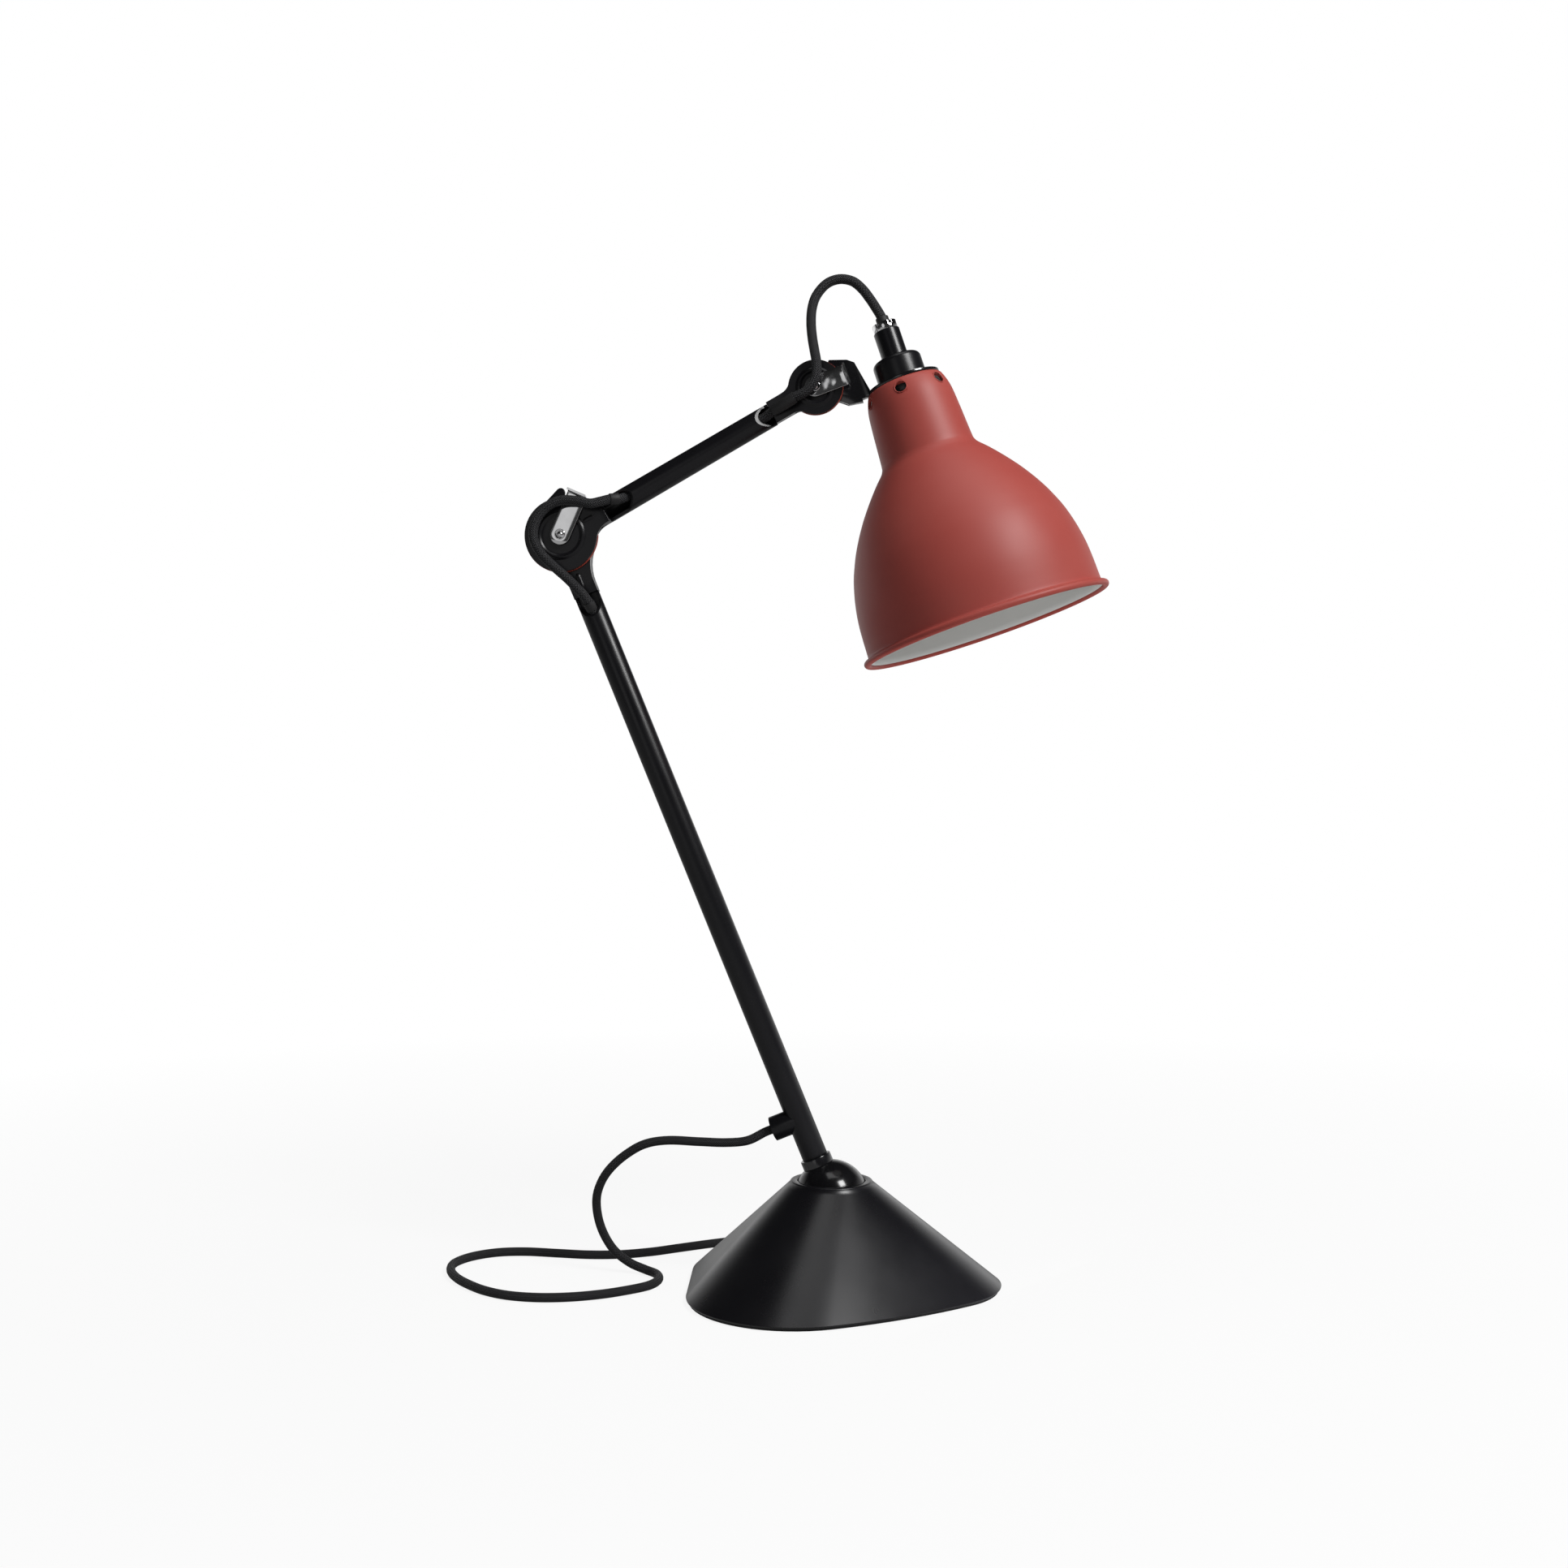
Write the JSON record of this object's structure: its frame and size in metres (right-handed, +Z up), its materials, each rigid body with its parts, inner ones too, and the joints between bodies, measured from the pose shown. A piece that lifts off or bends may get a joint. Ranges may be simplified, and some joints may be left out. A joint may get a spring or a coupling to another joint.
{
  "type": "architect lamp",
  "caption": "Adjustable desk lamp with a heavy rounded foot, ball joint, two jointed tube arms with clamped discs, a tilting bell shade and a braided lead with a coil and plug.",
  "frame": {"origin": "on the table under the ball joint's centre", "axes": "+Z up, the arms lie in the XZ plane and the shade points to +X"},
  "size_m": [0.3721, 0.2832, 0.5591],
  "materials": {
    "black_enamel": "satin black stove enamel",
    "ball_enamel": "gloss black enamel",
    "red_enamel": "satin red enamel outside, white enamel inside",
    "cast_iron": "rough cast",
    "steel": "plain zinc-plated steel",
    "chrome": "polished chrome",
    "rubber": "matte black rubber",
    "nylon": "natural nylon",
    "red_fibre": "red vulcanised fibre",
    "braid": "black textile braid",
    "holder_plastic": "pale phenolic",
    "brass": "plain brass",
    "bulb_metal": "rolled aluminium",
    "opal_glass": "opal glass",
    "plug_plastic": "matte black moulded plastic"
  },
  "bodies": {
    "base": {"base_casting": "black_enamel", "base_weight": "cast_iron", "base_plate": "steel", "foot_pad": "rubber", "plate_screws": "steel", "tension_screw": "steel", "spring_washers": "steel", "ball_seat": "nylon"},
    "swivel": {"pressure_cup": "steel", "lead_run": "braid", "lead_coil": "braid", "lead_tail": "braid", "plug_body": "plug_plastic", "plug_pins": "chrome"},
    "lower_arm": {"ball": "ball_enamel", "ball_stud": "steel", "lower_collar": "black_enamel", "tube_plug": "steel", "lower_tube": "black_enamel", "cord_boss": "black_enamel", "boss_bush": "rubber", "inner_cord_lower": "braid", "tongue_front": "black_enamel", "tongue_rear": "black_enamel", "tongue_rivets": "steel", "lower_sleeve": "rubber", "elbow_flex": "braid"},
    "upper_arm": {"elbow_fork": "black_enamel", "elbow_nut": "steel", "elbow_washers": "red_fibre", "upper_tube": "black_enamel", "upper_sleeve": "rubber", "inner_cord_upper": "braid", "head_fork": "black_enamel", "head_nut": "steel", "head_sleeve": "rubber", "head_flex": "braid"},
    "elbow_clamp": {"elbow_bolt": "chrome", "elbow_lever": "chrome"},
    "head_clamp": {"head_bolt": "chrome", "head_lever": "chrome"},
    "head": {"head_washers": "red_fibre", "head_bracket": "black_enamel", "holder_cap": "black_enamel", "top_nut": "chrome", "cord_grip": "rubber", "holder_skirt": "holder_plastic", "holder_insulator": "holder_plastic", "screw_shell": "brass", "holder_contacts": "brass", "shade_ring": "holder_plastic", "shade": "red_enamel", "bulb_cap": "bulb_metal", "bulb_glass": "opal_glass"}
  },
  "joints": [
    {"name": "swivel", "type": "hinge", "parent": "base", "child": "swivel", "pos_m": [0, 0, 0.0495], "axis": [0, 0, 1], "continuous": true},
    {"name": "arm_tilt", "type": "hinge", "parent": "swivel", "child": "lower_arm", "pos_m": [0, 0, 0.0495], "axis": [0, 1, 0], "range_deg": [-12, 58], "deforming": ["lead_run"]},
    {"name": "elbow", "type": "hinge", "parent": "lower_arm", "child": "upper_arm", "pos_m": [-0.15104, 0, 0.41686], "axis": [0, 1, 0], "range_deg": [-80, 20], "deforming": ["elbow_flex"]},
    {"name": "elbow_clamp", "type": "hinge", "parent": "upper_arm", "child": "elbow_clamp", "pos_m": [-0.15104, 0, 0.41686], "axis": [0, 1, 0], "range_deg": [-60, 0]},
    {"name": "head", "type": "hinge", "parent": "upper_arm", "child": "head", "pos_m": [-0.00844, 0, 0.49623], "axis": [0, 1, 0], "range_deg": [-75, 36], "deforming": ["head_flex"]},
    {"name": "head_clamp", "type": "hinge", "parent": "upper_arm", "child": "head_clamp", "pos_m": [-0.00844, 0, 0.49623], "axis": [0, 1, 0], "range_deg": [0, 60]}
  ]
}
